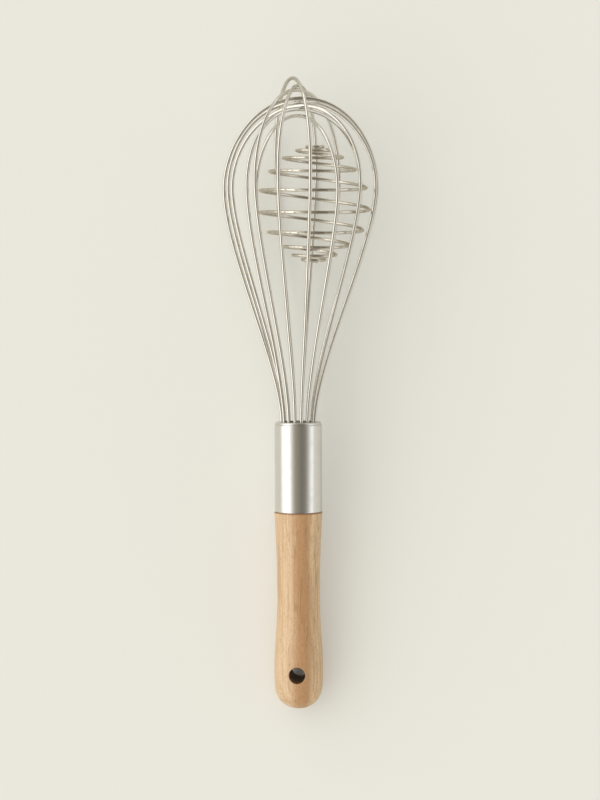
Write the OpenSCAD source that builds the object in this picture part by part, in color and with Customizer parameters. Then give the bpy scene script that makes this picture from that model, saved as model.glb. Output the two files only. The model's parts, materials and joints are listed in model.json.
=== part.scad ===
// Balloon whisk with a loose spiral-wire ball: a turned beech handle, a steel
// ferrule with its end cap, eight wire loops set in a filler plug, and a ball
// of coiled wire that runs free inside the cage.
//
// Every piece is drawn about the whisk's own axis, with z = 0 at the face of
// the end cap, +z towards the crown and -y towards the viewer. Then lay_down()
// puts it on the table as the whisk lies at rest: on its lowest wires and on
// the swell of its handle, with the crown towards +Y.

/* [Handle] */
// Length of the handle below the ferrule
handle_len = 94.3; // [80:0.1:130]
// Diameter of the handle at the ferrule
shoulder_d = 22.9; // [22.6:0.1:26]
// Diameter of the handle at its waist
waist_d = 20.3; // [17:0.1:22]
// Distance from the ferrule to the waist
waist_at = 40.8; // [25:0.2:46]
// Diameter of the handle at the palm swell
swell_d = 23.2; // [20:0.1:28]
// Distance from the palm swell to the end of the butt
butt_len = 18.2; // [15:0.2:26]
// Fullness of the butt: 2 is a plain round end, and more is squarer
butt_fullness = 3.6; // [2:0.1:5]
// Length of the tenon inside the ferrule
tenon_len = 18; // [8:0.5:18.5]

/* [Hanging hole] */
// Diameter of the hanging hole
hole_d = 7.6; // [4:0.1:10]
// Distance from the centre of the hole to the end of the butt
hole_from_butt = 17.4; // [13:0.2:26]
// Angle that the hole is turned about the handle, against the resting wires
hole_roll = 4; // [-20:1:20]

/* [Ferrule] */
// Length of the ferrule tube
ferrule_len = 41.5; // [41.5:0.5:60]
// Outer diameter of the ferrule tube
ferrule_d = 22.5; // [22.4:0.1:22.9]
// Wall of the ferrule tube
ferrule_wall = 0.8; // [0.5:0.05:0.9]

/* [End cap] */
// Height of the rim that sits on the end of the ferrule
rim_h = 1.4; // [1.2:0.1:3]
// How far the rim stands inside the outer face of the ferrule
rim_step = 0.25; // [0:0.05:0.4]
// Radius of the rim's outer edge
rim_round = 1.1; // [0.4:0.1:1.15]
// Length of the skirt inside the ferrule
skirt_len = 5; // [3:0.5:9]
// Wall of the skirt
skirt_wall = 0.8; // [0.5:0.05:0.9]

/* [Wire loops] */
// Diameter of the cage wire
wire_d = 1.65; // [1.2:0.05:1.7]
// Diameter of the circle that the legs stand on
leg_ring_d = 15.8; // [15:0.1:15.8]
// Depth of the legs in the filler plug
leg_depth = 20; // [10:0.5:21]
// Direction of the first loop, from the side towards the viewer
first_azimuth = 11.25; // [0:0.25:22.5]
// Reach of the shortest loop beyond the end cap
shortest_reach = 144.5; // [140:0.5:155]
// Daylight under each loop where it crosses the one below it at the crown, from the second up
crown_gaps = [0.95, 0.2, 0.2, 0.2, 2.1, 0.35, 1.85];
// Place of each loop in the pile at the crown, 0 for the lowest
crown_rank = [3, 2, 0, 7, 6, 5, 1, 4];
// Half the width of each loop at its belly
belly_r = [36.3, 36.4, 36.1, 36, 36.2, 35.8, 35.5, 36.5];
// How far the crown of each loop leans to the right
lean = [0.9, -1.5, 0.2, -3, 1.2, 1.2, 4.8, 3.8];
// How far each loop bows to the right between its ends
bow = [1.2, -0.4, -1.1, -0.7, -0.6, -0.3, 0.8, -0.4];
// How much higher the right flank of each loop stands than its own axis
skew = [-0.2, 3, -5.9, -0.7, -0.6, -0.5, -3.5, -1.5];
// Angle that each loop is twisted away from its legs
twist = [5, 0, 1.5, -2, 3, 0, -7, 3];

/* [Spiral ball] */
// Outer diameter of the ball across its widest turn
ball_d = 54.2; // [46:0.2:54.4]
// Outer length of the ball, from end turn to end turn
ball_len = 55.8; // [46:0.2:56]
// Diameter of the ball's wire
ball_wire_d = 1.55; // [1:0.05:1.6]
// Angle from the ball's pole to each end of the wire
ball_end_angle = 10.5; // [4:0.5:12]
// Turns of wire from end to end
ball_turns = 9.9; // [6:0.1:10.5]
// How much closer the turns lie at the poles: 0 is an even spiral
ball_crowding = 0.35; // [0:0.05:0.6]
// How fast the turns narrow towards the poles: 1 is a round ball, and more is leaner
ball_taper = 1.33; // [0.9:0.01:1.6]
// Direction in which the wire starts, at the pole nearer the crown
ball_start = -5; // [-180:5:180]
// Angle that each turn droops to the right
ball_droop = 1.2; // [0:0.1:6]
// Angle that the ball's axis leans towards the viewer
ball_lean = 3.6; // [0:0.1:6]
// Angle that the ball's axis leans to the right
ball_tilt = 2.9; // [0:0.1:6]
// Distance from the end cap to the centre of the ball
ball_height = 103; // [95:0.5:110]
// How far the centre of the ball lies below the axis of the cage
ball_drop = 0.5; // [-3:0.1:3]
// Clearance of the ball from the loops that it lies against, on their drawn points
ball_slack = 0.45; // [0.4:0.005:2]

/* [Fits] */
// Radial clearance of the tenon, the plug and the skirt in the ferrule
glue_gap = 0.05; // [0.02:0.01:0.15]
// Radial clearance of the legs in the filler plug
leg_gap = 0.1; // [0.05:0.01:0.12]
// Radial clearance between the legs and the mouth of the end cap
mouth_gap = 0.45; // [0.35:0.05:0.5]
// Depth of the filler plug's face below the face of the end cap
face_depth = 1.2; // [1:0.1:1.7]

/* [Hidden] */
loops = len(crown_rank);
$fn = 96;

beech = [0.82, 0.66, 0.47];
steel = [0.74, 0.73, 0.71];
filler = [0.78, 0.74, 0.66];

// Shape of the loops, as shares of their reach or, for the crown, of their belly
// radius: the height of each belly and the breadth of each crown, then how far
// all the curves hold straight at the leg and below and above the belly, and the
// height by which the twist is done
belly_share = [0.736, 0.754, 0.758, 0.774, 0.751, 0.73, 0.756, 0.723];
crown_share = [0.615, 0.594, 0.59, 0.583, 0.629, 0.663, 0.678, 0.628];
leg_share = 0.189;
flank_share = 0.18;
shoulder_share = 0.125;
twist_share = 0.3;

flank_steps = 16;
dome_steps = 14;
wire_sides = 8;
ball_steps = 24;
ball_sides = 6;
handle_steps = 12;
corner_steps = 6;
// Halvings when a place is searched for, and the steepest tilt that is tried
search_steps = 24;
steepest_tilt = 20;
// Least gap allowed between turns of the ball, for the printed check
ball_gap_wanted = 0.4;

ferrule_r = ferrule_d / 2;
ferrule_bore_r = ferrule_r - ferrule_wall;
insert_r = ferrule_bore_r - glue_gap;
leg_ring_r = leg_ring_d / 2;
wire_r = wire_d / 2;
leg_hole_r = wire_r + leg_gap;
mouth_r = leg_ring_r + wire_r + mouth_gap;
rim_r = ferrule_r - rim_step;
skirt_bore_r = insert_r - skirt_wall;
lip_round = rim_step + glue_gap;

// Heights along the axis, from the face of the end cap
ferrule_top = -rim_h;
shoulder_z = ferrule_top - ferrule_len;
tenon_top = shoulder_z + tenon_len;
skirt_end = ferrule_top - skirt_len;
plug_face = -face_depth;
butt_z = shoulder_z - handle_len;
swell_z = butt_z + butt_len;
waist_z = shoulder_z - waist_at;
hole_z = butt_z + hole_from_butt;
leg_foot = plug_face - leg_depth;

function unit(v) = v / norm(v);
function sum(v, n) = n <= 0 ? 0 : v[n - 1] + sum(v, n - 1);
function bezier(a, b, c, d, t) =
    pow(1 - t, 3) * a + 3 * pow(1 - t, 2) * t * b + 3 * (1 - t) * t * t * c + pow(t, 3) * d;
function smooth(t) = t * t * (3 - 2 * t);

// Radius that gives a wire of so many sides the cross-section area of a round one
function ring_r(r, sides) = r * sqrt(2 * PI / (sides * sin(360 / sides)));

// Wire loops

function reach(k) =
    shortest_reach + wire_d * crown_rank[k] + sum(crown_gaps, crown_rank[k]);

// One half of loop k from the plug's face to the crown, as [radius, height]
function half_profile(k) =
    let (top = reach(k),
         belly = belly_r[k],
         foot = [leg_ring_r, plug_face],
         widest = [belly, belly_share[k] * top],
         crown = [0, top])
    concat(
        [for (i = [0 : flank_steps])
            bezier(foot, foot + [0, leg_share * top],
                   widest - [0, flank_share * top], widest, i / flank_steps)],
        [for (i = [1 : dome_steps])
            bezier(widest, widest + [0, shoulder_share * top],
                   crown + [crown_share[k] * belly, 0], crown, i / dome_steps)]);

// A point of loop k, on the side of its front leg (1) or its back leg (-1)
function loop_point(k, side, p) =
    let (s = max(0, (p[1] - plug_face) / (reach(k) - plug_face)),
         a = first_azimuth + k * 180 / loops + twist[k] * smooth(min(1, s / twist_share)),
         x = side * p[0] * cos(a),
         shift = lean[k] * s * s + bow[k] * 6.75 * s * s * (1 - s),
         rise = skew[k] * s * s * x / belly_r[k])
    [x + shift, -side * p[0] * sin(a), p[1] + rise];

function loop_path(k) =
    let (half = half_profile(k),
         last = len(half) - 1,
         foot = [leg_ring_r, leg_foot])
    concat([loop_point(k, 1, foot)],
           [for (i = [0 : last]) loop_point(k, 1, half[i])],
           [for (i = [last - 1 : -1 : 0]) loop_point(k, -1, half[i])],
           [loop_point(k, -1, foot)]);

// Square to the plane of loop k
function loop_normal(k) =
    let (a = first_azimuth + k * 180 / loops + twist[k])
    [sin(a), cos(a), 0];

// Spiral ball

ball_wire_r = ball_wire_d / 2;
ball_r = ball_d / 2 - ball_wire_r;
ball_half = (ball_len / 2 - ball_wire_r) / cos(ball_end_angle);
ball_rings = round(ball_turns * ball_steps);

// A point of the ball's wire, a share t of the way from the pole nearer the crown
function coil_point(t) =
    let (even = t - ball_crowding * sin(360 * t) / (2 * PI),
         pole = ball_end_angle + (180 - 2 * ball_end_angle) * even,
         a = ball_start + 360 * ball_turns * t,
         r = ball_r * pow(sin(pole), ball_taper),
         x = r * cos(a))
    [x, -r * sin(a), ball_half * cos(pole) - x * tan(ball_droop)];

// Both ends of the wire run straight for one diameter
function coil_path() =
    let (p = [for (i = [0 : ball_rings]) coil_point(i / ball_rings)],
         n = len(p) - 1)
    concat([p[0] + ball_wire_d * unit(p[0] - p[1])], p,
           [p[n] + ball_wire_d * unit(p[n] - p[n - 1])]);

ball_path = coil_path();
ball_gap = min([for (i = [0 : len(ball_path) - 1])
                for (j = [i + round(ball_steps / 2) : 1 : len(ball_path) - 1])
                    norm(ball_path[i] - ball_path[j])]) - ball_wire_d;

// The ball lies as far to the right as the loops let it
wire_points = [for (k = [0 : loops - 1]) each loop_path(k)];
function ball_centre(x) = [x, ball_drop, ball_height];
function ball_room(x) =
    min([for (p = wire_points) norm(p - ball_centre(x))]) - wire_r - ball_d / 2;
function ball_rest(low, high, n) =
    let (mid = (low + high) / 2)
    n == 0 ? mid
    : ball_room(mid) > ball_slack ? ball_rest(mid, high, n - 1)
    : ball_rest(low, mid, n - 1);
ball_at = ball_centre(ball_rest(0, max(belly_r), search_steps));

// Handle outline from the shoulder to the end of the butt, as [radius, height]
function handle_outline() =
    let (shoulder_r = shoulder_d / 2, waist_r = waist_d / 2, swell_r = swell_d / 2)
    concat(
        [for (i = [0 : handle_steps])
            let (s = i / handle_steps)
            [waist_r + (shoulder_r - waist_r) * pow(1 - s, 2), shoulder_z - waist_at * s]],
        [for (i = [1 : handle_steps])
            let (s = i / handle_steps)
            [waist_r + (swell_r - waist_r) * (1 - cos(180 * s)) / 2,
             waist_z + (swell_z - waist_z) * s]],
        [for (i = [1 : handle_steps])
            let (s = sin(90 * i / handle_steps))
            [swell_r * sqrt(max(0, 1 - pow(s, butt_fullness))), swell_z - butt_len * s]]);

// Resting pose: the tilt at which the wires and the handle reach equally low

handle_points = handle_outline();

function wires_low(tilt) =
    min([for (p = wire_points) p[2] * sin(tilt) - p[1] * cos(tilt)]) - wire_r;
function handle_low(tilt) =
    min([for (p = handle_points) p[1] * sin(tilt) - p[0] * cos(tilt)]);
function settle(low, high, n) =
    let (mid = (low + high) / 2)
    n == 0 ? mid
    : wires_low(mid) < handle_low(mid) ? settle(mid, high, n - 1)
    : settle(low, mid, n - 1);

rest_tilt = settle(0, steepest_tilt, search_steps);
lift = -min(wires_low(rest_tilt), handle_low(rest_tilt));
wire_x = [for (p = wire_points) p[0]];
centre_x = (min(wire_x) + max(wire_x)) / 2;
far_y = max([for (p = wire_points) p[2] * cos(rest_tilt) + p[1] * sin(rest_tilt)]) + wire_r;
near_y = min([for (p = handle_points) p[1] * cos(rest_tilt) - p[0] * sin(rest_tilt)]);
centre_y = (far_y + near_y) / 2;

// Where a point of the whisk's own frame comes to lie on the table
function laid(p) =
    [p[0] - centre_x,
     p[1] * sin(rest_tilt) + p[2] * cos(rest_tilt) - centre_y,
     p[2] * sin(rest_tilt) - p[1] * cos(rest_tilt) + lift];

module lay_down() {
    translate([-centre_x, -centre_y, lift]) rotate([rest_tilt - 90, 0, 0]) children();
}

// Tube of triangles along a path: side is a direction that the path never runs along
module wire(path, r, sides, side) {
    n = len(path);
    radius = ring_r(r, sides);
    rings = [for (i = [0 : n - 1])
        let (t = unit(path[min(i + 1, n - 1)] - path[max(i - 1, 0)]),
             u = unit(cross(t, side)),
             v = cross(t, u))
        for (j = [0 : sides - 1])
            path[i] + radius * (u * cos(360 * j / sides) + v * sin(360 * j / sides))];
    walls = [for (i = [0 : n - 2]) for (j = [0 : sides - 1])
        let (a = i * sides + j, b = i * sides + (j + 1) % sides)
        each [[a, b + sides, b], [a, a + sides, b + sides]]];
    ends = [for (j = [1 : sides - 2])
        each [[0, j, j + 1],
              [(n - 1) * sides, (n - 1) * sides + j + 1, (n - 1) * sides + j]]];
    polyhedron(points = rings, faces = concat(walls, ends));
}

// Turned handle with its tenon and hanging hole
module handle() {
    outline = concat([[0, tenon_top], [insert_r, tenon_top], [insert_r, shoulder_z]],
                     handle_points, [[0, butt_z]]);
    color(beech) difference() {
        rotate_extrude() polygon(outline);
        translate([0, 0, hole_z]) rotate([90, 0, -hole_roll])
            cylinder(h = 2 * swell_d, r = hole_d / 2, center = true);
    }
}

// Plain tube that the plug and the tenon are glued into
module ferrule() {
    color(steel) translate([0, 0, shoulder_z]) difference() {
        cylinder(h = ferrule_len, r = ferrule_r);
        translate([0, 0, -1]) cylinder(h = ferrule_len + 2, r = ferrule_bore_r);
    }
}

// Pressed cap with a rounded rim on the ferrule's end and a skirt inside it
module end_cap() {
    outer_edge = [for (i = [0 : corner_steps])
        let (a = 90 * i / corner_steps)
        [rim_r - rim_round * (1 - cos(a)), -rim_round * (1 - sin(a))]];
    inner_edge = [for (i = [0 : corner_steps])
        let (a = 90 + 90 * i / corner_steps)
        [mouth_r + lip_round * (1 + cos(a)), -lip_round * (1 - sin(a))]];
    color(steel) rotate_extrude() polygon(concat(
        [[skirt_bore_r, skirt_end], [insert_r, skirt_end],
         [insert_r, ferrule_top], [rim_r, ferrule_top]],
        outer_edge, inner_edge,
        [[mouth_r, ferrule_top], [skirt_bore_r, ferrule_top]]));
}

// Filler that holds the sixteen legs: a neck inside the cap and a body below it
module wire_plug() {
    color(filler) difference() {
        union() {
            translate([0, 0, tenon_top])
                cylinder(h = skirt_end - tenon_top, r = insert_r);
            translate([0, 0, skirt_end])
                cylinder(h = plug_face - skirt_end, r = mouth_r - glue_gap);
        }
        for (k = [0 : loops - 1], side = [1, -1])
            translate(loop_point(k, side, [leg_ring_r, leg_foot - leg_gap]))
                cylinder(h = leg_depth + leg_gap + 1, r = leg_hole_r, $fn = 24);
    }
}

// One loop of the cage, with its two legs
module wire_loop(k) {
    color(steel) wire(loop_path(k), wire_r, wire_sides, loop_normal(k));
}

// Loose ball coiled from one length of wire
module whisk_ball() {
    color(steel) translate(ball_at)
        rotate([ball_lean, ball_tilt, 0])
            wire(ball_path, ball_wire_r, ball_sides, [0, 0, 1]);
}

lay_down() handle();
lay_down() ferrule();
lay_down() end_cap();
lay_down() wire_plug();
for (k = [1 : loops])
    lay_down() wire_loop(k - 1);
lay_down() whisk_ball();

echo(str("least gap of the ball's wire to itself: ", ball_gap, " mm, more than ",
         ball_gap_wanted, " wanted: ", ball_gap > ball_gap_wanted));
echo(str("tilt at rest: ", rest_tilt, " degrees"));
echo(str("hanging hole centre: ", laid([0, 0, hole_z])));
echo(str("hanging hole axis: ",
         laid([sin(-hole_roll), -cos(hole_roll), hole_z]) - laid([0, 0, hole_z])));
echo(str("ball centre: ", laid(ball_at)));
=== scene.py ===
"""Looks of a balloon whisk with a loose spiral ball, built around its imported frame.

Shapes are drawn in the whisk's own frame in millimetres, with z = 0 at the face
of the end cap and +z towards the crown, and are then laid on the table as the
CAD model lies. Sizes repeat those of the CAD source.
"""

import json
import math

import bmesh
import bpy
from mathutils import Matrix, Vector


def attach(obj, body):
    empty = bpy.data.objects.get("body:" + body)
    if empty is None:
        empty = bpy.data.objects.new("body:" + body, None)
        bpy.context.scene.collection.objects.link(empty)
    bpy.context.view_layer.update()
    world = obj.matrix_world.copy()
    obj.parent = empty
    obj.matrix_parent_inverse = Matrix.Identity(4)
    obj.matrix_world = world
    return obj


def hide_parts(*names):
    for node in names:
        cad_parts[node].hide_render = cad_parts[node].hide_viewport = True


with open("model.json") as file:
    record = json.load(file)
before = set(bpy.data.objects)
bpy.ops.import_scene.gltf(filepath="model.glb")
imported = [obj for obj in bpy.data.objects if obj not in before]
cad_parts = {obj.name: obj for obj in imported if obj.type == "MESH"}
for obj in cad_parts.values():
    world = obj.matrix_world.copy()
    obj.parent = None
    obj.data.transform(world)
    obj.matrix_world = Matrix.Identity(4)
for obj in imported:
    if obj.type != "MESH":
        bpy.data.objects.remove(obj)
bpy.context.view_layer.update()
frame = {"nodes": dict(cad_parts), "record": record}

MM = 0.001
UP = Vector((0, 0, 1))

# How the whisk lies: the tilt of its axis, and where its own origin comes to be
REST_TILT = math.radians(5.77667)
WHISK_AT = (-1.60804, -12.77851, 24.03642)
LAY = (
    Matrix.Scale(MM, 4)
    @ Matrix.Translation(WHISK_AT)
    @ Matrix.Rotation(REST_TILT - math.pi / 2, 4, "X")
)

# Heights along the axis
RIM_SEAT = -1.4
SHOULDER = -42.9
TENON_TOP = -24.9
SKIRT_END = -6.4
PLUG_FACE = -1.2
BUTT = -137.2
SWELL = -119.0
WAIST = -83.7
HOLE = -119.8

# Radii, and with them the fullness of the butt's curve, the hole's turn round the
# whisk's axis, and the depth of the legs in the filler
SHOULDER_R = 11.45
WAIST_R = 10.15
SWELL_R = 11.6
BUTT_FULLNESS = 3.6
TENON_R = 10.4
FERRULE_R = 11.25
FERRULE_BORE_R = 10.45
RIM_R = 11.0
MOUTH_R = 9.175
SKIRT_BORE_R = 9.6
HOLE_R = 3.8
HOLE_ROLL = math.radians(4)
WIRE_R = 0.825
LEG_RING_R = 7.9
LEG_DEPTH = 20.0

# Each loop: reach, belly radius, lean and bow to the right, skew, twist in degrees,
# the share of the reach at which its belly lies, and the share that rounds its crown
LOOPS = [
    (150.8, 36.3, 0.9, 1.2, -0.2, 5, 0.736, 0.615),
    (148.95, 36.4, -1.5, -0.4, 3.0, 0, 0.754, 0.594),
    (144.5, 36.1, 0.2, -1.1, -5.9, 1.5, 0.758, 0.590),
    (161.9, 36.0, -3.0, -0.7, -0.7, -2, 0.774, 0.583),
    (158.4, 36.2, 1.2, -0.6, -0.6, 3, 0.751, 0.629),
    (156.4, 35.8, 1.2, -0.3, -0.5, 0, 0.730, 0.663),
    (147.1, 35.5, 4.8, 0.8, -3.5, -7, 0.756, 0.678),
    (152.65, 36.5, 3.8, -0.4, -1.5, 3, 0.723, 0.628),
]

# Shares of a loop's reach: the pull that keeps its curve straight at the leg, below
# the belly and above it, and the part over which it twists
LEG_SHARE = 0.189
FLANK_SHARE = 0.18
SHOULDER_SHARE = 0.125
TWIST_SHARE = 0.3

# Direction of the first loop's front leg, in degrees round the axis
FIRST_AZIMUTH = 11.25

# share**2 * (1 - share) is 1 / 6.75 at most, so a bow of 1 shifts a loop by up to 1 mm
BOW_SCALE = 6.75

# The ball: radii of its wire's path, its turns and how they crowd and taper towards
# the poles, its first direction, droop, lean and tilt, and its place
BALL_R = 26.325
BALL_HALF = 27.587
BALL_WIRE_R = 0.775
BALL_END_ANGLE = 10.5
BALL_TURNS = 9.9
BALL_CROWDING = 0.35
BALL_TAPER = 1.33
BALL_START = -5
BALL_DROOP = math.radians(1.2)
BALL_LEAN = math.radians(3.6)
BALL_TILT = math.radians(2.9)
BALL_AT = Vector((7.7433, 0.5, 103.0))

SMOOTH_ANGLE = math.radians(38)

# Sides of what is round
HANDLE_SIDES = 176
TUBE_SIDES = 192
HOLE_SIDES = 96
WIRE_SIDES = 20
BALL_WIRE_SIDES = 16


# Drawing


def bezier(a, b, c, d, t):
    """Point a share t of the way along a cubic curve."""
    u = 1 - t
    return a * u**3 + b * 3 * u * u * t + c * 3 * u * t * t + d * t**3


def rounded(outline, steps=6):
    """Replaces each corner (radius, height, round) of an outline by an arc of that round."""
    points = []
    last = len(outline) - 1
    for i, (x, z, size) in enumerate(outline):
        corner = Vector((x, z))
        if size == 0 or i in (0, last):
            points.append(corner)
            continue
        before = (Vector(outline[i - 1][:2]) - corner).normalized()
        after = (Vector(outline[i + 1][:2]) - corner).normalized()
        half = before.angle(after) / 2
        reach = size / math.tan(half)
        centre = corner + (before + after).normalized() * (size / math.sin(half))
        start = corner + before * reach - centre
        end = corner + after * reach - centre
        for j in range(steps + 1):
            points.append(centre + start.lerp(end, j / steps).normalized() * size)
    return points


def finish_piece(mesh, name):
    """Makes an object of a mesh drawn in the whisk's frame, laid on the table."""
    bmesh.ops.transform(mesh, matrix=LAY, verts=mesh.verts)
    data = bpy.data.meshes.new(name)
    mesh.to_mesh(data)
    mesh.free()
    data.shade_smooth()
    data.set_sharp_from_angle(angle=SMOOTH_ANGLE)
    piece = bpy.data.objects.new(name, data)
    bpy.context.scene.collection.objects.link(piece)
    return piece


def lathe(outline, sides, closed=False):
    """Spins an outline of (radius, height) points round the whisk's axis."""
    mesh = bmesh.new()
    points = [mesh.verts.new((p[0], 0, p[1])) for p in outline]
    pairs = list(zip(points, points[1:]))
    if closed:
        pairs.append((points[-1], points[0]))
    edges = [mesh.edges.new(pair) for pair in pairs]
    bmesh.ops.spin(
        mesh, geom=points + edges, axis=UP, cent=(0, 0, 0),
        angle=2 * math.pi, steps=sides, use_merge=True,
    )
    bmesh.ops.remove_doubles(mesh, verts=mesh.verts, dist=1e-4)
    bmesh.ops.recalc_face_normals(mesh, faces=mesh.faces)
    return mesh


def wire(path, radius, sides):
    """Draws a round wire along a path, ring by ring, with domed ends.

    The point attribute "drawn" holds the place across and along the wire in
    millimetres, so that a finish can follow it."""
    mesh = bmesh.new()
    drawn = mesh.verts.layers.float_vector.new("drawn")
    path = [Vector(p) for p in path]
    tangents = [
        (path[min(i + 1, len(path) - 1)] - path[max(i - 1, 0)]).normalized()
        for i in range(len(path))
    ]

    # Stations along the wire: place, tangent, share of the radius, length so far
    dome_steps = 4
    domes = [math.pi / 2 * j / (dome_steps + 1) for j in range(1, dome_steps + 1)]
    stations = [
        (path[0] - tangents[0] * radius * math.sin(a), tangents[0], math.cos(a), 0)
        for a in reversed(domes)
    ]
    length = 0
    for i, (place, tangent) in enumerate(zip(path, tangents)):
        if i:
            length += (place - path[i - 1]).length
        stations.append((place, tangent, 1, length))
    stations += [
        (path[-1] + tangents[-1] * radius * math.sin(a), tangents[-1], math.cos(a), length)
        for a in domes
    ]

    turn = UP.rotation_difference(stations[0][1])
    frames = []
    for i, (place, tangent, share, _) in enumerate(stations):
        if i:
            turn = stations[i - 1][1].rotation_difference(tangent) @ turn
        frames.append(Matrix.LocRotScale(place, turn, (share, share, share)))

    ring = bmesh.ops.create_circle(mesh, cap_ends=True, segments=sides, radius=radius)["verts"]
    across = [vert.co.copy() for vert in ring]
    edges = list(mesh.edges)
    for i, place in enumerate(frames):
        if i:
            made = bmesh.ops.extrude_edge_only(mesh, edges=edges)["geom"]
            fresh = {item for item in made if isinstance(item, bmesh.types.BMVert)}
            ring = [
                next(e.other_vert(vert) for e in vert.link_edges if e.other_vert(vert) in fresh)
                for vert in ring
            ]
            edges = [
                e for e in made
                if isinstance(e, bmesh.types.BMEdge)
                and e.verts[0] in fresh and e.verts[1] in fresh
            ]
        for vert, point in zip(ring, across):
            vert.co = place @ point
            vert[drawn] = (point.x, point.y, stations[i][3])
    bmesh.ops.contextual_create(mesh, geom=edges)
    bmesh.ops.recalc_face_normals(mesh, faces=mesh.faces)
    return mesh


def body_piece(piece, body, node, material):
    """Puts a finished piece on its body in place of its CAD node."""
    piece.data.materials.clear()
    piece.data.materials.append(material)
    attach(piece, body)
    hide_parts(node)


# Shapes of the whisk


def handle_outline():
    """Outline of the turned handle from the tenon's end to the butt."""
    tenon_round = 0.6
    shoulder_round = 0.35
    waist_steps = 30
    swell_steps = 36
    butt_steps = 44
    points = [(0, TENON_TOP, 0), (TENON_R, TENON_TOP, tenon_round), (TENON_R, SHOULDER, 0),
              (SHOULDER_R, SHOULDER, shoulder_round)]
    for i in range(1, waist_steps + 1):
        s = i / waist_steps
        points.append((WAIST_R + (SHOULDER_R - WAIST_R) * (1 - s) ** 2,
                       SHOULDER + (WAIST - SHOULDER) * s, 0))
    for i in range(1, swell_steps + 1):
        s = i / swell_steps
        points.append((WAIST_R + (SWELL_R - WAIST_R) * (1 - math.cos(math.pi * s)) / 2,
                       WAIST + (SWELL - WAIST) * s, 0))
    for i in range(1, butt_steps + 1):
        s = math.sin(math.pi / 2 * i / butt_steps)
        points.append((SWELL_R * math.sqrt(max(0, 1 - s**BUTT_FULLNESS)),
                       SWELL + (BUTT - SWELL) * s, 0))
    return rounded(points)


def handle_radius(height):
    """Radius of the handle near its hole."""
    if height > SWELL:
        s = (height - WAIST) / (SWELL - WAIST)
        return WAIST_R + (SWELL_R - WAIST_R) * (1 - math.cos(math.pi * s)) / 2
    s = (height - SWELL) / (BUTT - SWELL)
    return SWELL_R * math.sqrt(1 - s**BUTT_FULLNESS)


def hole_cutter():
    """Drill for the hanging hole, flared at both ends to ease the hole's edges.

    The flare follows the round of the handle, so the eased edge is even."""
    ease = 0.5
    overrun = 0.6
    clear_height = 4.0
    arc = [math.radians(a) for a in (0, 15, 30, 45, 60, 75)]
    profile = [(HOLE_R + ease * (1 - math.cos(a)), ease * (math.sin(a) - 1)) for a in arc]
    out, down = profile[-1]
    profile.append((out + overrun, down + overrun / math.tan(arc[-1])))
    profile.append((out + overrun, clear_height))
    mesh = bmesh.new()
    bmesh.ops.create_circle(mesh, cap_ends=False, segments=HOLE_SIDES, radius=HOLE_R)
    middle = list(mesh.edges)
    for side in (1, -1):
        edges = middle
        for radius, depth in profile:
            made = bmesh.ops.extrude_edge_only(mesh, edges=edges)["geom"]
            fresh = [v for v in made if isinstance(v, bmesh.types.BMVert)]
            edges = [e for e in made if isinstance(e, bmesh.types.BMEdge)
                     and e.verts[0] in fresh and e.verts[1] in fresh]
            for vert in fresh:
                flat = Vector((vert.co.x, vert.co.y)).normalized() * radius
                surface = math.sqrt(handle_radius(HOLE + flat.y) ** 2 - flat.x**2)
                vert.co = (flat.x, flat.y, side * (surface + depth))
        bmesh.ops.contextual_create(mesh, geom=edges)
    bmesh.ops.recalc_face_normals(mesh, faces=mesh.faces)
    # Drilled from the front of the handle towards its back
    place = (Matrix.Translation((0, 0, HOLE)) @ Matrix.Rotation(-HOLE_ROLL, 4, "Z")
             @ Matrix.Rotation(math.pi / 2, 4, "X"))
    bmesh.ops.transform(mesh, matrix=place, verts=mesh.verts)
    return mesh


def build_handle():
    """Turned handle with its hanging hole cut through."""
    handle = finish_piece(lathe(handle_outline(), HANDLE_SIDES), "turned_handle")
    cutter = finish_piece(hole_cutter(), "hole_cutter")
    cut = handle.modifiers.new("hanging_hole", "BOOLEAN")
    cut.object = cutter
    cut.operation = "DIFFERENCE"
    cut.solver = "EXACT"
    bpy.context.view_layer.update()
    shaped = bpy.data.meshes.new_from_object(
        handle.evaluated_get(bpy.context.evaluated_depsgraph_get()))
    handle.modifiers.clear()
    handle.data = shaped
    shaped.shade_smooth()
    shaped.set_sharp_from_angle(angle=SMOOTH_ANGLE)
    bpy.data.objects.remove(cutter)
    return handle


def build_ferrule():
    """Steel tube with softly rounded ends, its outline begun half-way up the bore."""
    halfway = -22
    outline = [
        (FERRULE_BORE_R, halfway, 0), (FERRULE_BORE_R, SHOULDER, 0.2),
        (FERRULE_R, SHOULDER, 0.4), (FERRULE_R, RIM_SEAT, 0.25),
        (FERRULE_BORE_R, RIM_SEAT, 0.15), (FERRULE_BORE_R, halfway, 0),
    ]
    return finish_piece(lathe(rounded(outline)[:-1], TUBE_SIDES, closed=True), "ferrule_tube")


def build_end_cap():
    """Pressed cap: a rounded rim on the ferrule's end, and a skirt inside it."""
    halfway = -4
    outline = [
        (SKIRT_BORE_R, halfway, 0), (SKIRT_BORE_R, SKIRT_END, 0.2),
        (TENON_R, SKIRT_END, 0.25), (TENON_R, RIM_SEAT, 0),
        (RIM_R, RIM_SEAT, 0.2), (RIM_R, 0, 1.1),
        (MOUTH_R, 0, 0.3), (MOUTH_R, RIM_SEAT, 0.1),
        (SKIRT_BORE_R, RIM_SEAT, 0), (SKIRT_BORE_R, halfway, 0),
    ]
    return finish_piece(
        lathe(rounded(outline, steps=10)[:-1], TUBE_SIDES, closed=True), "rim_cap")


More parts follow.
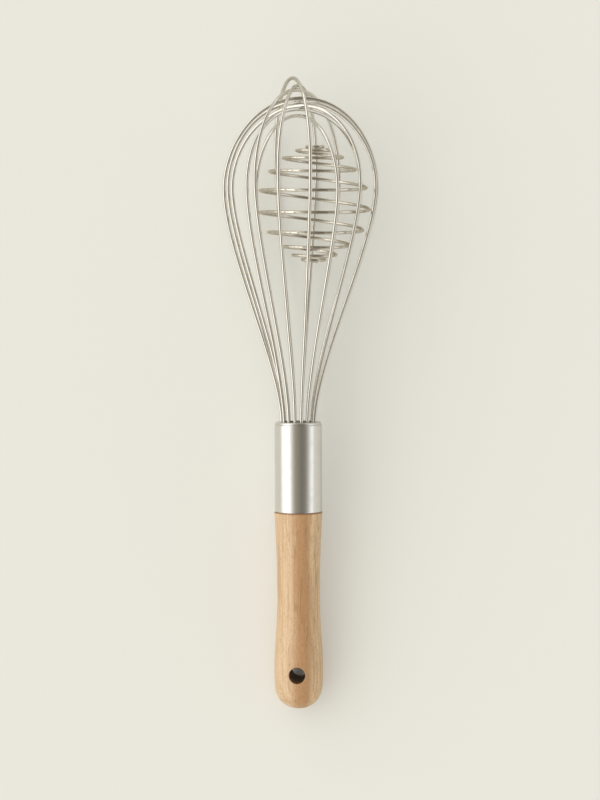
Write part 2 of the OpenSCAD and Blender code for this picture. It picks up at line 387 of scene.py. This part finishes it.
def loop_path(number):
    """Centre line of one loop, from its front leg over the crown to its back leg."""
    top, belly, lean, bow, skew, twist, belly_share, crown_share = LOOPS[number]
    flank_steps = 56
    dome_steps = 64
    foot = Vector((LEG_RING_R, PLUG_FACE))
    widest = Vector((belly, belly_share * top))
    crown = Vector((0, top))
    leaving_foot = foot + Vector((0, LEG_SHARE * top))
    nearing_widest = widest - Vector((0, FLANK_SHARE * top))
    leaving_widest = widest + Vector((0, SHOULDER_SHARE * top))
    nearing_crown = crown + Vector((crown_share * belly, 0))
    flank = [bezier(foot, leaving_foot, nearing_widest, widest, i / flank_steps)
             for i in range(flank_steps + 1)]
    dome = [bezier(widest, leaving_widest, nearing_crown, crown, i / dome_steps)
            for i in range(1, dome_steps + 1)]
    half = [Vector((LEG_RING_R, PLUG_FACE - LEG_DEPTH))] + flank + dome

    def place(side, point):
        """Point of one side of the loop, turned, leaned and bowed."""
        share = max(0, (point.y - PLUG_FACE) / (top - PLUG_FACE))
        done = min(1, share / TWIST_SHARE)
        angle = math.radians(FIRST_AZIMUTH + number * 180 / len(LOOPS)
                             + twist * done * done * (3 - 2 * done))
        shift = lean * share**2 + bow * BOW_SCALE * share**2 * (1 - share)
        x = side * point.x * math.cos(angle)
        return Vector((x + shift, -side * point.x * math.sin(angle),
                       point.y + skew * share**2 * x / belly))

    return [place(1, p) for p in half] + [place(-1, p) for p in reversed(half[:-1])]


def ball_path():
    """Centre line of the ball's wire, from the pole nearer the crown."""
    steps_a_turn = 64
    steps = round(BALL_TURNS * steps_a_turn)
    points = []
    for i in range(steps + 1):
        share = i / steps
        even = share - BALL_CROWDING * math.sin(2 * math.pi * share) / (2 * math.pi)
        pole = math.radians(BALL_END_ANGLE + (180 - 2 * BALL_END_ANGLE) * even)
        angle = math.radians(BALL_START + 360 * BALL_TURNS * share)
        radius = BALL_R * math.sin(pole) ** BALL_TAPER
        x = radius * math.cos(angle)
        points.append(Vector((x, -radius * math.sin(angle),
                              BALL_HALF * math.cos(pole) - x * math.tan(BALL_DROOP))))
    points.insert(0, points[0] + (points[0] - points[1]).normalized() * BALL_WIRE_R)
    points.append(points[-1] + (points[-1] - points[-2]).normalized() * BALL_WIRE_R)
    place = (Matrix.Translation(BALL_AT) @ Matrix.Rotation(BALL_TILT, 4, "Y")
             @ Matrix.Rotation(BALL_LEAN, 4, "X"))
    return [place @ p for p in points]


# Materials


def new_group(name, inputs, outputs):
    """Shader node group with named sockets: (name, socket type, default value)."""
    group = bpy.data.node_groups.new(name, "ShaderNodeTree")
    for label, kind, value in inputs:
        socket = group.interface.new_socket(label, in_out="INPUT", socket_type=kind)
        if value is not None:
            socket.default_value = value
    for label, kind in outputs:
        group.interface.new_socket(label, in_out="OUTPUT", socket_type=kind)
    return group, group.nodes.new("NodeGroupInput"), group.nodes.new("NodeGroupOutput")


class Nodes:
    """Short calls for the nodes of one tree."""

    def __init__(self, tree):
        self.tree = tree

    def add(self, kind, values=(), links=(), **settings):
        """A node with settings, socket values and links given by (socket, other socket)."""
        node = self.tree.nodes.new(kind)
        for key, value in settings.items():
            setattr(node, key, value)
        for socket, value in dict(values).items():
            node.inputs[socket].default_value = value
        for socket, source in dict(links).items():
            self.tree.links.new(source, node.inputs[socket])
        return node

    def noise(self, vector, scale, detail=2.0, rough=0.5):
        """Noise value between 0 and 1."""
        return self.add("ShaderNodeTexNoise", {"Scale": scale, "Detail": detail, "Roughness": rough},
                        {"Vector": vector}).outputs["Fac"]

    def stretch(self, vector, scale, turn=(0, 0, 0), move=(0, 0, 0)):
        """The vector moved, turned and scaled."""
        return self.add("ShaderNodeMapping", {"Scale": scale, "Rotation": turn, "Location": move},
                        {"Vector": vector}).outputs["Vector"]

    def ramp(self, value, low, high, to_low=0.0, to_high=1.0, smooth=True):
        """Value taken from one range to another."""
        return self.add("ShaderNodeMapRange",
                        {"From Min": low, "From Max": high, "To Min": to_low, "To Max": to_high},
                        {"Value": value},
                        interpolation_type="SMOOTHSTEP" if smooth else "LINEAR").outputs["Result"]

    def math(self, operation, a, b=None):
        """Arithmetic on one or two items, each a socket or a number."""
        node = self.add("ShaderNodeMath", operation=operation)
        for i, item in enumerate((a, b)):
            if item is None:
                continue
            if isinstance(item, (int, float)):
                node.inputs[i].default_value = item
            else:
                self.tree.links.new(item, node.inputs[i])
        return node.outputs[0]

    def mix(self, share, a, b):
        """Colour between a and b, each a socket or a colour."""
        node = self.add("ShaderNodeMix", data_type="RGBA")
        color_a = node.inputs[6]
        color_b = node.inputs[7]
        for socket, item in ((node.inputs["Factor"], share), (color_a, a), (color_b, b)):
            if isinstance(item, bpy.types.NodeSocket):
                self.tree.links.new(item, socket)
            else:
                socket.default_value = item
        return node.outputs[2]


def new_material(name):
    """Empty material with its Principled shader, and the calls for its nodes."""
    material = bpy.data.materials.new(name)
    material.use_nodes = True
    shader = material.node_tree.nodes["Principled BSDF"]
    return material, shader, Nodes(material.node_tree)


def steel_group():
    """Fine lines left by drawing or brushing, with faint smudges.

    The lines run along the direction in which the given vector changes least."""
    coarse_share = 0.23
    clouds_a_metre = 190.0
    line_shade = 0.16
    smudge_shade = 0.08
    smudge_haze = 0.1
    group, given, out = new_group(
        "worked_steel",
        [("Vector", "NodeSocketVector", None), ("Color", "NodeSocketColor", (0.6, 0.6, 0.6, 1)),
         ("Line Depth", "NodeSocketFloat", 0.5), ("Smudges", "NodeSocketFloat", 0.5),
         ("Roughness", "NodeSocketFloat", 0.3)],
        [("Color", "NodeSocketColor"), ("Roughness", "NodeSocketFloat"),
         ("Height", "NodeSocketFloat")],
    )
    n = Nodes(group)
    lines = n.noise(given.outputs["Vector"], 1.0, detail=5.0, rough=0.65)
    coarse = n.noise(n.stretch(given.outputs["Vector"], (coarse_share,) * 3), 1.0, detail=2.0)
    cloud = n.noise(n.add("ShaderNodeTexCoord").outputs["Object"], clouds_a_metre, detail=3.0)
    smudge = n.math("MULTIPLY", n.ramp(cloud, 0.42, 0.72), given.outputs["Smudges"])
    shade = n.math("MULTIPLY", n.ramp(lines, 0.3, 0.7, -line_shade, line_shade, smooth=False),
                   given.outputs["Line Depth"])
    dim = n.math("SUBTRACT", n.math("ADD", shade, 1.0), n.math("MULTIPLY", smudge, smudge_shade))
    tint = n.add("ShaderNodeVectorMath", links={0: given.outputs["Color"]}, operation="SCALE")
    group.links.new(dim, tint.inputs["Scale"])
    rough = n.math("ADD", given.outputs["Roughness"],
                   n.math("ADD", n.math("MULTIPLY", smudge, smudge_haze),
                          n.math("MULTIPLY", shade, -0.5)))
    height = n.math("MULTIPLY", n.math("ADD", lines, n.math("MULTIPLY", coarse, 0.6)),
                    given.outputs["Line Depth"])
    group.links.new(tint.outputs[0], out.inputs["Color"])
    group.links.new(rough, out.inputs["Roughness"])
    group.links.new(height, out.inputs["Height"])
    return group


def axis_vector(n):
    """Object coordinates in millimetres, turned so that y runs along the whisk."""
    place = n.add("ShaderNodeTexCoord").outputs["Object"]
    return n.stretch(place, (1 / MM,) * 3, turn=(-REST_TILT, 0, 0))


def steel(name, group, lines, color, rough, line_depth, smudges, bump, rim=(1, 1, 1)):
    """Stainless steel, with its lines laid by the function that the call gives.

    The rim is the tint of what it mirrors at a glancing angle."""
    scratch_depth = 0.00002
    material, shader, n = new_material(name)
    shader.inputs["Metallic"].default_value = 1.0
    shader.inputs["Specular Tint"].default_value = (*rim, 1)
    finish = n.add(
        "ShaderNodeGroup",
        {"Color": (*color, 1), "Roughness": rough, "Line Depth": line_depth, "Smudges": smudges},
        {"Vector": lines(n)},
        node_tree=group,
    )
    dent = n.add("ShaderNodeBump", {"Strength": bump, "Distance": scratch_depth},
                 {"Height": finish.outputs["Height"]})
    n.tree.links.new(finish.outputs["Color"], shader.inputs["Base Color"])
    n.tree.links.new(finish.outputs["Roughness"], shader.inputs["Roughness"])
    n.tree.links.new(dent.outputs["Normal"], shader.inputs["Normal"])
    return material


def brushed_round(n):
    """Lines that run round the whisk's axis: quick change along it, slow across."""
    return n.stretch(axis_vector(n), (0.35, 9.0, 0.35))


def drawn_lines(n):
    """Lines that run along a wire."""
    place = n.add("ShaderNodeAttribute", attribute_name="drawn").outputs["Vector"]
    return n.stretch(place, (5.0, 5.0, 0.12))


def beech():
    """Oiled beech: a ruddy band down the middle, a lighter tone on its right side that is painted
    light, streaks and pores.
    """
    material, shader, n = new_material("oiled_beech")
    grain = axis_vector(n)
    pale = (0.69, 0.50, 0.31, 1)
    # Lighter tone for the right side of the handle: painted light
    painted_light_honey = (0.90, 0.645, 0.375, 1)
    blond = (0.76, 0.58, 0.38, 1)
    ruddy = (0.52, 0.285, 0.125, 1)
    brown = (0.27, 0.12, 0.045, 1)
    # Dark of the drilled wall: its end grain, and painted shade inside the hole
    wall_grain_and_shade = (0.13, 0.052, 0.014, 1)

    def layer(scale, detail, rough=0.5, move=(0, 0, 0)):
        """Noise drawn out along the grain, which runs with y."""
        return n.noise(n.stretch(grain, scale, move=move), 1.0, detail=detail, rough=rough)

    # Layers of the board that it was turned from, told apart by their place across it: a ruddy band
    # down the middle; the lighter tone on the right side is painted light
    band_rises = (-7.5, -0.9)
    band_fades = (1.7, 5.9)
    painted_light_rises = (2.0, 6.5)
    wave = n.math("MULTIPLY", n.math("SUBTRACT", layer((0.10, 0.018, 0.10), 2.0), 0.5), 5.0)
    place = n.add("ShaderNodeSeparateXYZ", links={0: grain})
    across = n.math("ADD", place.outputs["X"], wave)
    band = n.math("MULTIPLY", n.ramp(across, *band_rises), n.ramp(across, *band_fades, 1, 0))
    color = n.mix(n.ramp(across, *painted_light_rises, 0, 0.95), pale, painted_light_honey)
    color = n.mix(n.math("MULTIPLY", band, 0.92), color, ruddy)

    # Broad streaks, fine fibre, thin growth lines, and short flecks and pores
    streaks = layer((0.9, 0.012, 0.9), 3.0, rough=0.6)
    fibre = layer((4.5, 0.10, 4.5), 4.0, rough=0.65)
    rings = layer((0.42, 0.006, 0.42), 1.0, move=(7, 0, 2))
    ring_line = n.ramp(n.math("ABSOLUTE", n.math("SUBTRACT", rings, 0.5)), 0.0, 0.022, 1, 0)
    fleck_mask = n.ramp(layer((3.2, 0.55, 3.2), 2.5, rough=0.6), 0.585, 0.67)
    pore_mask = n.ramp(layer((7.0, 1.3, 7.0), 2.0, move=(4, 0, 7)), 0.60, 0.70)
    color = n.mix(n.ramp(streaks, 0.45, 0.72, 0, 0.6), color, ruddy)
    color = n.mix(n.ramp(streaks, 0.42, 0.25, 0, 0.25), color, blond)
    color = n.mix(n.ramp(fibre, 0.42, 0.75, 0, 0.42), color, brown)
    color = n.mix(n.math("MULTIPLY", ring_line, 0.40), color, brown)
    color = n.mix(n.math("MULTIPLY", fleck_mask, 0.48), color, brown)
    color = n.mix(n.math("MULTIPLY", pore_mask, 0.48), color, brown)

    # A thin dark seam where the wood meets the ferrule
    shoulder = (Matrix.Rotation(-REST_TILT, 4, "X") @ LAY @ Vector((0, 0, SHOULDER))).y / MM
    seam_rises = (shoulder - 0.9, shoulder - 0.2)
    color = n.mix(n.ramp(place.outputs["Y"], *seam_rises, 0, 0.8), color, brown)

    # The drilled wall is darker than the oiled outside: partly its darker end grain, partly painted
    # shade inside the hole
    hole = frame["record"]["mounts"][0]
    upright = Vector(hole["axis"]).rotation_difference(UP)
    around = n.stretch(n.add("ShaderNodeTexCoord").outputs["Object"], (1 / MM,) * 3,
                       turn=upright.to_euler())
    centre = upright @ Vector(hole["pos_m"]) / MM
    offset = n.add("ShaderNodeVectorMath", {1: centre * -1}, {0: around}, operation="ADD")
    flat = n.add("ShaderNodeVectorMath", {1: (1, 1, 0)}, {0: offset.outputs[0]},
                 operation="MULTIPLY")
    far = n.add("ShaderNodeVectorMath", links={0: flat.outputs[0]}, operation="LENGTH")
    wall_fades = (HOLE_R + 0.02, HOLE_R + 0.3)
    color = n.mix(n.ramp(far.outputs["Value"], *wall_fades, 0.72, 0), color, wall_grain_and_shade)

    pore_depth = 0.00006
    height = n.math("SUBTRACT", n.math("MULTIPLY", fibre, 0.5),
                    n.math("ADD", n.math("MULTIPLY", fleck_mask, 0.8), pore_mask))
    dent = n.add("ShaderNodeBump", {"Strength": 0.35, "Distance": pore_depth}, {"Height": height})
    n.tree.links.new(color, shader.inputs["Base Color"])
    n.tree.links.new(n.ramp(streaks, 0.3, 0.7, 0.38, 0.50), shader.inputs["Roughness"])
    n.tree.links.new(dent.outputs["Normal"], shader.inputs["Normal"])
    return material


def filler():
    """Cast filler round the legs, a little speckled."""
    material, shader, n = new_material("cast_filler")
    place = axis_vector(n)
    speckle = n.noise(place, 3.0, detail=4.0, rough=0.7)
    cloud = n.noise(place, 0.35, detail=2.0)
    light = (0.50, 0.46, 0.38, 1)
    dull = (0.40, 0.36, 0.29, 1)
    speck = (0.22, 0.19, 0.15, 1)
    color = n.mix(n.ramp(cloud, 0.3, 0.7), light, dull)
    color = n.mix(n.ramp(speckle, 0.55, 0.72, 0, 0.35), color, speck)
    grit_depth = 0.0001
    dent = n.add("ShaderNodeBump", {"Strength": 0.4, "Distance": grit_depth}, {"Height": speckle})
    n.tree.links.new(color, shader.inputs["Base Color"])
    n.tree.links.new(n.ramp(speckle, 0.3, 0.7, 0.55, 0.75), shader.inputs["Roughness"])
    n.tree.links.new(dent.outputs["Normal"], shader.inputs["Normal"])
    return material


# Studio

TABLE_COLOR = (0.79, 0.78, 0.72, 1)
TABLE_HALF = 6
BACKDROP = (0.80, 0.78, 0.70, 1)

# How much of the open table the camera sees as a plain backdrop, the strength of that,
# the distance in metres within which something near the table spoils its openness, and
# the openness between which the backdrop comes up
TABLE_GLOW = 0.28
GLOW_STRENGTH = 0.98
OPEN_DISTANCE = 0.02
OPEN_BETWEEN = (0.05, 0.4)

# Light of the studio across the whisk: how far a direction leans to the right, from
# -1 to 1, the level there and its tint. Metal mirrors the first list: a wide warm
# window on the left, the dim brownish ceiling where the camera hangs, and a narrower,
# clearer window on the right
WARM = (1.0, 0.985, 0.94)
DIM = (1.0, 0.915, 0.745)
CLEAR = (0.98, 0.965, 0.955)
MIRRORED = [
    (-1.0, 1.40, WARM), (-0.93, 2.10, WARM), (-0.75, 2.10, WARM), (-0.64, 1.35, WARM),
    (-0.53, 0.90, WARM), (-0.36, 0.50, DIM), (-0.18, 0.36, DIM), (0.0, 0.33, DIM),
    (0.12, 0.28, DIM), (0.22, 0.235, DIM), (0.50, 0.26, DIM), (0.64, 0.35, DIM),
    (0.77, 0.60, CLEAR), (0.88, 1.10, CLEAR), (0.957, 1.45, CLEAR), (1.0, 0.85, WARM),
]

# Dull surfaces are lit by the second list, which is softer
SPREAD = [
    (-1.0, 0.42, WARM), (-0.95, 1.00, WARM), (-0.89, 1.98, WARM), (-0.55, 1.93, WARM),
    (-0.33, 1.10, WARM), (0.0, 0.92, WARM), (0.25, 0.76, WARM), (0.45, 0.44, WARM),
    (1.0, 0.47, WARM),
]


def build_floor():
    """Plain pale table that the whisk lies on."""
    mesh = bmesh.new()
    bmesh.ops.create_grid(mesh, x_segments=1, y_segments=1, size=TABLE_HALF)
    data = bpy.data.meshes.new("table")
    mesh.to_mesh(data)
    mesh.free()
    floor = bpy.data.objects.new("table", data)
    bpy.context.scene.collection.objects.link(floor)
    material, shader, n = new_material("pale_table")
    shader.inputs["Base Color"].default_value = TABLE_COLOR
    shader.inputs["Roughness"].default_value = 0.8
    shader.inputs["Specular IOR Level"].default_value = 0.1
    # The camera sees part of the table as a plain pale backdrop, the rest with its shadows
    glow = n.add("ShaderNodeEmission", {"Color": TABLE_COLOR, "Strength": GLOW_STRENGTH})
    # The backdrop fades out where the whisk is close above the table, so the table under it is
    # painted darker: painted shade
    open_air = n.add("ShaderNodeAmbientOcclusion", {"Distance": OPEN_DISTANCE}, samples=8)
    seen = n.math("MULTIPLY", n.add("ShaderNodeLightPath").outputs["Is Camera Ray"],
                  n.ramp(open_air.outputs["AO"], *OPEN_BETWEEN, 0, TABLE_GLOW))
    both = n.add("ShaderNodeMixShader", links={0: seen, 1: shader.outputs[0], 2: glow.outputs[0]})
    n.tree.links.new(both.outputs[0], n.tree.nodes["Material Output"].inputs["Surface"])
    data.materials.append(material)


def build_world():
    """Studio air, bright on the left, dim overhead and clearer on the right.

    What lights the dull surfaces is softer, and the camera sees a pale backdrop."""
    world = bpy.data.worlds.new("studio")
    bpy.context.scene.world = world
    world.use_nodes = True
    n = Nodes(world.node_tree)
    air = world.node_tree.nodes["Background"]
    rays = n.add("ShaderNodeLightPath")
    direction = n.add("ShaderNodeTexCoord").outputs["Generated"]
    upright = n.add("ShaderNodeVectorMath", {1: (1, 0, 1)}, {0: direction}, operation="MULTIPLY")
    unit = n.add("ShaderNodeVectorMath", links={0: upright.outputs[0]}, operation="NORMALIZE")
    lean = n.add("ShaderNodeSeparateXYZ", links={0: unit.outputs[0]})
    place = n.ramp(lean.outputs["X"], -1, 1, smooth=False)

    def studio(stops):
        """Light by the lean of its direction."""
        node = n.add("ShaderNodeValToRGB", links={"Fac": place})
        elements = node.color_ramp.elements
        elements.remove(elements[-1])
        for i, (leaning, strength, tint) in enumerate(stops):
            element = elements.new((leaning + 1) / 2) if i else elements[0]
            element.color = (*(strength * channel for channel in tint), 1)
        return node.outputs["Color"]

    color = n.mix(rays.outputs["Is Diffuse Ray"], studio(MIRRORED), studio(SPREAD))
    color = n.mix(rays.outputs["Is Camera Ray"], color, BACKDROP)
    n.tree.links.new(color, air.inputs["Color"])


# The camera, found by fitting the loops to the photograph: its focal length in pixels
# of the frame's longer side, its place, the direction at its back, and its roll
FOCAL_PX = 2118
FRAME_PX = 800
SENSOR_MM = 36.0
CAMERA_AT = (-0.000721, -0.051012, 1.02953)
CAMERA_BACK = (0, -0.048148, 0.99884)
CAMERA_ROLL = math.radians(0.126)


def build_camera():
    """Camera of the photograph: almost straight above the whisk, about a metre up."""
    data = bpy.data.cameras.new("camera")
    data.sensor_width = SENSOR_MM
    data.lens = FOCAL_PX / FRAME_PX * SENSOR_MM
    camera = bpy.data.objects.new("camera", data)
    bpy.context.scene.collection.objects.link(camera)
    back = Vector(CAMERA_BACK)
    ahead = Vector((0, back.z, -back.y))
    level_right = Vector((1, 0, 0))
    right = (level_right * math.cos(CAMERA_ROLL) - ahead * math.sin(CAMERA_ROLL)).normalized()
    up = back.cross(right)
    turn = Matrix((right, up, back)).transposed()
    camera.matrix_world = Matrix.Translation(CAMERA_AT) @ turn.to_4x4()
    bpy.context.scene.camera = camera


build_camera()
build_world()
build_floor()

worked = steel_group()
wire_steel = steel(
    "drawn_wire", worked, drawn_lines, color=(0.68, 0.66, 0.61), rim=(0.62, 0.59, 0.54),
    rough=0.06, line_depth=0.5, smudges=0.5, bump=0.06,
)
ball_steel = steel(
    "coiled_wire", worked, drawn_lines, color=(0.58, 0.545, 0.48), rim=(0.82, 0.78, 0.69),
    rough=0.07, line_depth=0.7, smudges=0.8, bump=0.10,
)
ferrule_steel = steel(
    "satin_tube", worked, brushed_round, color=(0.70, 0.69, 0.66),
    rough=0.2, line_depth=0.35, smudges=0.6, bump=0.2,
)
cap_steel = steel(
    "pressed_cap", worked, brushed_round, color=(0.66, 0.65, 0.62),
    rough=0.25, line_depth=0.3, smudges=0.6, bump=0.2,
)

body_piece(build_handle(), "whisk", "handle", beech())
body_piece(build_ferrule(), "whisk", "ferrule", ferrule_steel)
body_piece(build_end_cap(), "whisk", "end_cap", cap_steel)
for number in range(len(LOOPS)):
    loop = finish_piece(wire(loop_path(number), WIRE_R, WIRE_SIDES), f"loop_{number + 1}")
    body_piece(loop, "whisk", f"wire_loop_{number + 1}", wire_steel)
ball = finish_piece(wire(ball_path(), BALL_WIRE_R, BALL_WIRE_SIDES), "spiral_ball")
body_piece(ball, "ball", "whisk_ball", ball_steel)

# The filler keeps its CAD shape and gets a finish
plug = frame["nodes"]["wire_plug"]
plug.data.materials.clear()
plug.data.materials.append(filler())

bpy.context.scene.view_settings.view_transform = "Standard"
